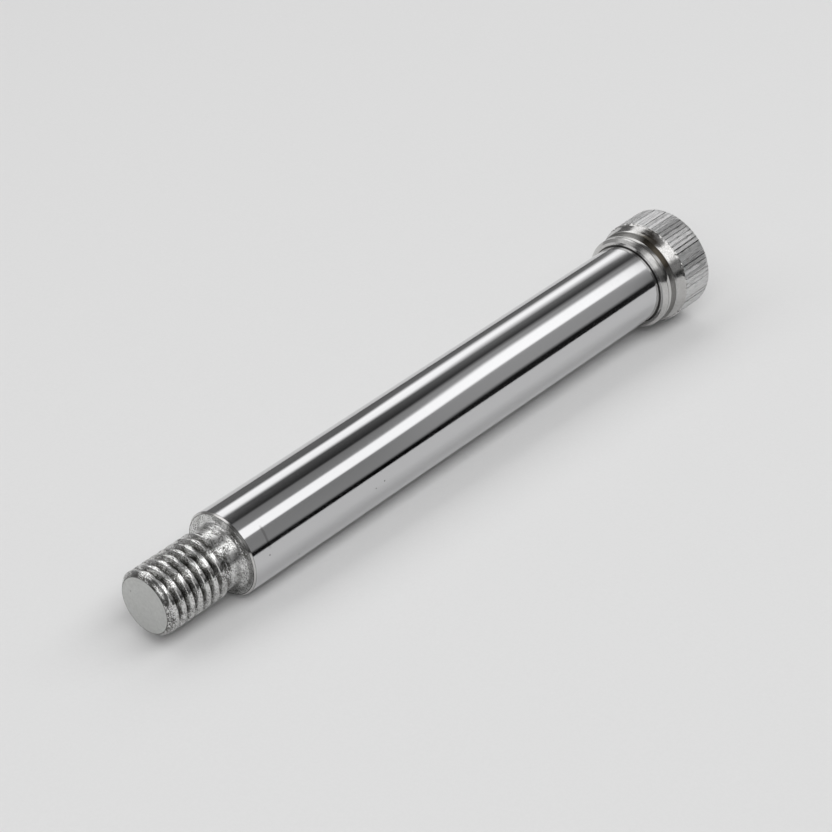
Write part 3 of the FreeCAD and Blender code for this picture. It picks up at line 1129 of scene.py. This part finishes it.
@dataclass
class Bolt:
    """The whole bolt, welded into one closed mesh with one finish for each band."""

    head: Head = field(default_factory=Head)
    shank: Shank = field(default_factory=Shank)
    knurl: Knurl = field(default_factory=Knurl)
    thread: Thread = field(default_factory=Thread)
    weld_distance: float = 0.002
    sliver: float = 0.0005
    sharp_angle: float = 32.0
    finishes: dict[Band, Steel] = field(default_factory=lambda: {
        Band.SOCKET: BroachedSteel(),
        Band.FACE: FacedSteel("steel_head_face", "#C4C4C1", 0.34),
        Band.KNURL: KnurledSteel(),
        Band.TURNED: TurnedSteel(),
        # Painted shade in the groove and the collar's corners, with a painted dark reflection patch
        # on the -X -Y side.
        Band.PAINTED_SHADE: TurnedSteel("steel_turned_painted_shade", "#989795", 0.24, dark_colour="#6E6D6B",
                               painted_shade_patch=(-3.65, -6.32, 8.6, 3.6)),
        Band.GROUND: GroundSteel(),
        Band.SATIN: RolledSteel("steel_neck_satin", dark_colour="#565552", roughness=0.24,
                                grain_length=0.11, depth=0.0012, root_radius=2.0,
                                crest_radius=3.0, crest_share=0.72),
        Band.ROLLED: RolledSteel(),
        Band.SAWN: FacedSteel(),
        # The cone's patch is a painted dark reflection of the tent's dark flag.
        Band.CONE: TurnedSteel("steel_cone_painted_shade", "#E4E3E2", 0.14, dark_colour="#8E8D8B",
                               painted_shade_patch=(-1.65, -7.65, 7.8, 2.3)),
        Band.LINE: TurnedSteel("steel_edge_shade", "#6E6D6B", 0.3, dark_colour="#4B4A48"),
    })

    def build(self) -> Object:
        """Make the bolt's piece and hand it to the frame.

        Returns:
            The finished piece.
        """
        dressed = {band: finish.material() for band, finish in self.finishes.items()}
        rings = [*self.head.rings(), *self.shank.rings(self.thread.start())]
        blank = self.turned("blank", rings, dressed)
        knurled = self.knurl.tree(dressed[Band.KNURL]).apply(blank)
        empty = bpy.data.meshes.new("thread_blank")
        threaded = self.thread.tree(dressed[Band.ROLLED]).apply(empty)
        cap = self.turned("cap", self.thread.cap_rings(), dressed)
        mesh = self.weld([knurled, threaded, cap], dressed)
        piece = put("bolt_body", mesh)
        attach(piece, "root")
        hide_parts(NODE_NAME)
        LOG.info("%s: %d faces, %d finishes", piece.name, len(mesh.polygons), len(mesh.materials))
        return piece

    def turned(self, name: str, rings: list[Ring], dressed: dict[Band, Material]) -> Mesh:
        """Join a list of rings into a turned surface.

        Args:
            name: Name for the mesh.
            rings: The rings in order along the surface.
            dressed: The material of each band.

        Returns:
            A mesh whose points carry their column and whether they are knurled.
        """
        work = bmesh.new()
        column_layer = work.verts.layers.int.new("column")
        knurl_layer = work.verts.layers.float.new("knurl")
        before: list[bmesh.types.BMVert] = []
        for ring in rings:
            loop = []
            points = ring.points(self.head.socket_flats, self.head.mouth_radius)
            for column, point in enumerate(points):
                vertex = work.verts.new(point)
                vertex[column_layer] = column
                vertex[knurl_layer] = 1.0 if ring.knurled else 0.0
                loop.append(vertex)
            for column in range(COLUMNS if before else 0):
                after = (column + 1) % COLUMNS
                corners = [before[column % len(before)], before[after % len(before)],
                           loop[after % len(loop)], loop[column % len(loop)]]
                face = work.faces.new(list(dict.fromkeys(corners)))
                face.material_index = ring.band.value
            before = loop
        mesh = finished(work, name)
        for band in Band:
            mesh.materials.append(dressed[band])
        return mesh

    def weld(self, parts: list[Mesh], dressed: dict[Band, Material]) -> Mesh:
        """Weld the parts into one closed mesh and set its shading.

        Args:
            parts: Meshes whose open edges meet.
            dressed: The material of each band.

        Returns:
            The welded mesh, with one slot for each band.
        """
        slot_of = {material.name: band.value for band, material in dressed.items()}
        work = bmesh.new()
        for part in parts:
            count = len(work.faces)
            work.from_mesh(part)
            work.faces.ensure_lookup_table()
            for face in work.faces[count:]:
                face.material_index = slot_of[part.materials[face.material_index].name]
        bmesh.ops.remove_doubles(work, verts=work.verts, dist=self.weld_distance * MM)
        bmesh.ops.dissolve_degenerate(work, edges=work.edges, dist=self.sliver * MM)
        bmesh.ops.recalc_face_normals(work, faces=work.faces)
        open_edges = sum(1 for edge in work.edges if len(edge.link_faces) != 2)
        if open_edges:
            LOG.warning("the bolt has %d open edges", open_edges)
        mesh = finished(work, "bolt_body")
        for name in ("column", "knurl"):
            if name in mesh.attributes:
                mesh.attributes.remove(mesh.attributes[name])
        for band in Band:
            mesh.materials.append(dressed[band])
        mesh.polygons.foreach_set("use_smooth", [True] * len(mesh.polygons))
        mesh.set_sharp_from_angle(angle=math.radians(self.sharp_angle))
        return mesh


@dataclass(frozen=True)
class Card:
    """One panel of the light tent, as the bolt's surfaces see it.

    Attributes:
        start: Angle at which the panel starts, in degrees from straight above
            the table towards +X.
        end: Angle at which it ends.
        low: Brightness at its start, where white is one.
        high: Brightness at its end, or None where it is the same.
    """

    start: float
    end: float
    low: float
    high: float | None = None


# Two rows of the tent that serve at two heights each.
END_ROW = (
    Card(-90, -78, 0.01), Card(-70, -39, 0.40), Card(-34.5, -12.5, 1.55), Card(-4.5, 3, 0.42, 0.38),
    Card(12.5, 32, 0.045, 0.2), Card(49, 58.5, 1.45, 1.4), Card(70.5, 89, 0.2, 0.13),
)
MIDDLE_ROW = (
    Card(-92, -83, 0.0), Card(-77, -44.5, 0.30, 0.26), Card(-41.5, -22, 1.45),
    Card(-18, 1, 0.28, 0.24), Card(5.5, 30, 0.025, 0.11), Card(38.5, 54, 1.35, 1.45),
    Card(62, 76, 0.15, 0.16),
)


@dataclass
class Studio:
    """Table, light tent, lamps and camera round the bolt, in metres and degrees."""

    table_size: float = 3.2
    table_colours: tuple[str, str] = ("#E2E2E2", "#E6E6E6")
    contact: tuple[float, float, float] = (0.0, 0.0084, 0.0062)
    table_lift: float = 1.1549
    tent_radius: float = 0.5
    tent_half_length: float = 1.8
    tent_edge: float = 96.0
    pieces_per_card: int = 6
    # From the table round to the table: gap, near card, main softbox, ceiling,
    # dark flag, side softbox and far wall, at each height along the bolt.
    tent_rows: dict[float, tuple[Card, ...]] = field(default_factory=lambda: {
        -0.458: (Card(-90, -66, 0.02, 0.05), Card(-58, -46, 0.16, 0.4), Card(-43, -24, 0.75),
                 Card(-12, 0, 0.2, 0.14), Card(8, 24, 0.1), Card(41, 64, 1.25, 1.1),
                 Card(72, 88, 0.8, 0.5)),
        -0.448: END_ROW,
        -0.357: END_ROW,
        -0.313: (Card(-91, -82, 0.0), Card(-76, -43, 0.36), Card(-39.5, -19.5, 1.5),
                 Card(-14, 0, 0.38, 0.32), Card(7, 30, 0.03, 0.14), Card(38.5, 57, 1.4, 1.5),
                 Card(67, 90, 0.2, 0.13)),
        -0.284: MIDDLE_ROW,
        -0.202: MIDDLE_ROW,
        -0.168: (Card(-92, -80, 0.05), Card(-74, -60, 0.3, 0.2), Card(-51, -22, 1.7),
                 Card(-17, -6, 0.4, 0.4), Card(2, 12, 0.5, 0.9), Card(20, 60, 1.8),
                 Card(70, 80, 0.7, 0.5)),
        0.3: (Card(-92, -80, 0.1), Card(-72, -55, 0.15, 0.3), Card(-46, -12, 1.4),
              Card(-6, 0, 0.4), Card(12, 24, 0.1), Card(36, 52, 0.6), Card(62, 80, 0.25, 0.2)),
        0.48: (Card(-92, -80, 0.05), Card(-72, -55, 0.12, 0.25), Card(-46, -12, 1.35),
               Card(-6, 0, 0.5), Card(8, 20, 0.1), Card(30, 60, 1.3), Card(68, 80, 0.4, 0.25)),
        0.66: (Card(-92, -80, 0.05), Card(-72, -58, 0.12, 0.2), Card(-50, -20, 0.28),
               Card(-12, -4, 0.12), Card(2, 16, 0.06, 0.1), Card(28, 58, 1.3),
               Card(66, 80, 0.35, 0.25)),
        0.9: (Card(-92, -80, 0.05), Card(-72, -58, 0.12, 0.2), Card(-50, -20, 0.28),
              Card(-12, -4, 0.12), Card(2, 22, 0.06), Card(34, 58, 0.35), Card(66, 80, 0.5, 0.3)),
    })
    lamp_length: float = 1.4
    lamp_middle: float = 0.05
    lamp_distance: float = 0.48
    world_level: float = 0.26
    background: str = "#DCDCDC"
    eye: tuple[float, float, float] = (-0.204396, -0.218201, 0.286638)
    eye_right: tuple[float, float, float] = (-0.747907, 0.013422, -0.663668)
    eye_up: tuple[float, float, float] = (0.376515, -0.814829, -0.440784)
    focal_length: float = 111.25
    sensor_width: float = 36.0
    clip: tuple[float, float] = (0.01, 20.0)

    def build(self) -> None:
        """Set up the table, the tent, the lamps, the world, the view and the camera."""
        self.lay_table()
        self.raise_tent()
        self.hang_lamp("main_softbox_lamp", degrees=-28.0, width=0.24, power=2.32)
        self.hang_lamp("side_softbox_lamp", degrees=31.0, width=0.32, power=1.6)
        self.light_world()
        self.place_camera()
        bpy.context.scene.view_settings.view_transform = "Standard"

    def stage_piece(self, name: str, mesh: Mesh, material: Material) -> Object:
        """Add a mesh to the scene as something that isn't part of the bolt.

        Args:
            name: The piece's name.
            mesh: Its mesh.
            material: Its one material.

        Returns:
            The new piece.
        """
        mesh.materials.append(material)
        piece = put(name, mesh)
        LOG.info("%s: stage", name)
        return piece

    def lay_table(self) -> None:
        """Lay the pale table against the head's rim and the shoulder's end edge."""
        lift = math.radians(self.table_lift)
        along = Vector((0.0, -math.sin(lift), math.cos(lift)))
        across = Vector((1.0, 0.0, 0.0))
        middle = Vector(self.contact) + Vector((0.0, 0.0002, 0.0)) + along * 0.05
        half = self.table_size / 2
        corners = [middle + across * x * half + along * z * half
                   for x, z in ((-1, -1), (1, -1), (1, 1), (-1, 1))]
        mesh = bpy.data.meshes.new("table")
        mesh.from_pydata(corners, [], [(0, 1, 2, 3)])
        material = bpy.data.materials.new("paper_matt_white")
        tree = empty_tree(material)
        place = add(tree, "ShaderNodeTexCoord").outputs["Object"]
        grain = add(tree, Kind.NOISE, place, per_metre(0.4), 2.0)
        tint = add(tree, Kind.BLEND, grain, *map(linear, self.table_colours))
        paper = add(tree, "ShaderNodeBsdfDiffuse", inputs={"Color": tint, "Roughness": 0.5})
        # The back of the sheet is clear, so that it never hides the bolt from below.
        clear = add(tree, "ShaderNodeBsdfTransparent")
        side = add(tree, "ShaderNodeNewGeometry")
        mixed = add(
            tree, "ShaderNodeMixShader", inputs={0: side.outputs["Backfacing"], 1: paper,
            2: clear})
        add(tree, "ShaderNodeOutputMaterial", inputs={"Surface": mixed})
        table = self.stage_piece("table", mesh, material)
        if table.data.polygons[0].normal.y > 0:
            table.data.flip_normals()

    def raise_tent(self) -> None:
        """Raise the light tent, a half pipe of cards that only gloss can see."""
        work = bmesh.new()
        glow = work.verts.layers.float.new("glow")
        heights = [-self.tent_half_length, *self.tent_rows, self.tent_half_length]
        stations = list(self.tent_rows.values())
        rows = []
        for height, cards in zip(heights, [stations[0], *stations, stations[-1]]):
            stops = [(card.start, card.low, card.end, card.low if card.high is None else card.high)
                     for card in cards]
            points = [stop for first in stops for stop in (first[:2], first[2:])]
            points = [(-self.tent_edge, points[0][1]), *points, (self.tent_edge, points[-1][1])]
            row = []
            for (start, low), (end, high) in zip(points, points[1:]):
                for piece in range(self.pieces_per_card):
                    share = piece / self.pieces_per_card
                    row.append(self.tent_corner(work, glow, start + (end - start) * share,
                                                low + (high - low) * share, height))
            row.append(self.tent_corner(work, glow, *points[-1], height))
            rows.append(row)
        for lower, upper in zip(rows, rows[1:]):
            for at in range(len(lower) - 1):
                work.faces.new((lower[at], lower[at + 1], upper[at + 1], upper[at]))
        mesh = finished(work, "light_tent")
        material = bpy.data.materials.new("tent_cloth_lit")
        tree = empty_tree(material)
        level = add(tree, "ShaderNodeAttribute", attribute_name="glow")
        light = add(tree, "ShaderNodeEmission", inputs={"Strength": level.outputs["Fac"]})
        add(tree, "ShaderNodeOutputMaterial", inputs={"Surface": light})
        tent = self.stage_piece("light_tent", mesh, material)
        for ray in ("camera", "diffuse", "transmission", "shadow", "volume_scatter"):
            setattr(tent, "visible_" + ray, False)

    def tent_corner(self, work: bmesh.types.BMesh, glow: bmesh.types.BMLayerItem, degrees: float,
                    level: float, height: float) -> bmesh.types.BMVert:
        """Add one corner of the tent with its brightness.

        Args:
            work: The tent in the making.
            glow: The layer that holds the brightness.
            degrees: Angle from straight above the table towards +X.
            level: Brightness, where white is one.
            height: Distance above the head's end face, in metres.

        Returns:
            The new corner.
        """
        angle = math.radians(degrees)
        place = (self.tent_radius * math.sin(angle), -self.tent_radius * math.cos(angle), height)
        vertex = work.verts.new(place)
        vertex[glow] = level
        return vertex

    def hang_lamp(self, name: str, degrees: float, width: float, power: float) -> None:
        """Hang one long softbox lamp over the bolt, along its axis.

        Args:
            name: The lamp's name.
            degrees: Angle from straight above the table towards +X.
            width: Width of the softbox in metres.
            power: Power in watts.
        """
        lamp = bpy.data.lights.new(name, "AREA")
        lamp.shape = "RECTANGLE"
        lamp.size = width
        lamp.size_y = self.lamp_length
        lamp.energy = power
        angle = math.radians(degrees)
        outward = Vector((math.sin(angle), -math.cos(angle), 0.0))
        along = Vector((0.0, 0.0, 1.0))
        holder = put(name, lamp)
        place = outward * self.lamp_distance + along * self.lamp_middle
        holder.matrix_world = pose(place, along.cross(outward), along)
        holder.visible_glossy = False
        holder.visible_camera = False

    def light_world(self) -> None:
        """Fill the room with even light, and give the view and gloss the pale backdrop."""
        world = bpy.data.worlds.new("studio_room")
        tree = empty_tree(world)
        path = add(tree, "ShaderNodeLightPath")
        seen = add(tree, Kind.HIGHEST, path.outputs["Is Camera Ray"], path.outputs["Is Glossy Ray"])
        seen = add(tree, Kind.HIGHEST, seen, path.outputs["Is Transmission Ray"])
        fill = add(
            tree, "ShaderNodeBackground", inputs={"Color": (1.0, 1.0, 1.0, 1.0),
            "Strength": self.world_level})
        backdrop = add(
            tree, "ShaderNodeBackground", inputs={"Color": linear(self.background),
            "Strength": 1.0})
        mixed = add(tree, "ShaderNodeMixShader", inputs={0: seen, 1: fill, 2: backdrop})
        add(tree, "ShaderNodeOutputWorld", inputs={"Surface": mixed})
        bpy.context.scene.world = world

    def place_camera(self) -> None:
        """Place the camera where the photograph was taken from."""
        lens = bpy.data.cameras.new("camera")
        lens.lens = self.focal_length
        lens.sensor_width = self.sensor_width
        lens.sensor_fit = "HORIZONTAL"
        lens.clip_start, lens.clip_end = self.clip
        camera = put("camera", lens)
        camera.matrix_world = pose(Vector(self.eye), Vector(self.eye_right), Vector(self.eye_up))
        bpy.context.scene.camera = camera


def main() -> None:
    """Build the bolt and the studio."""
    logging.basicConfig(level=logging.INFO, format="%(message)s")
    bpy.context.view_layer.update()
    Bolt().build()
    Studio().build()


if __name__ == "__main__":
    main()
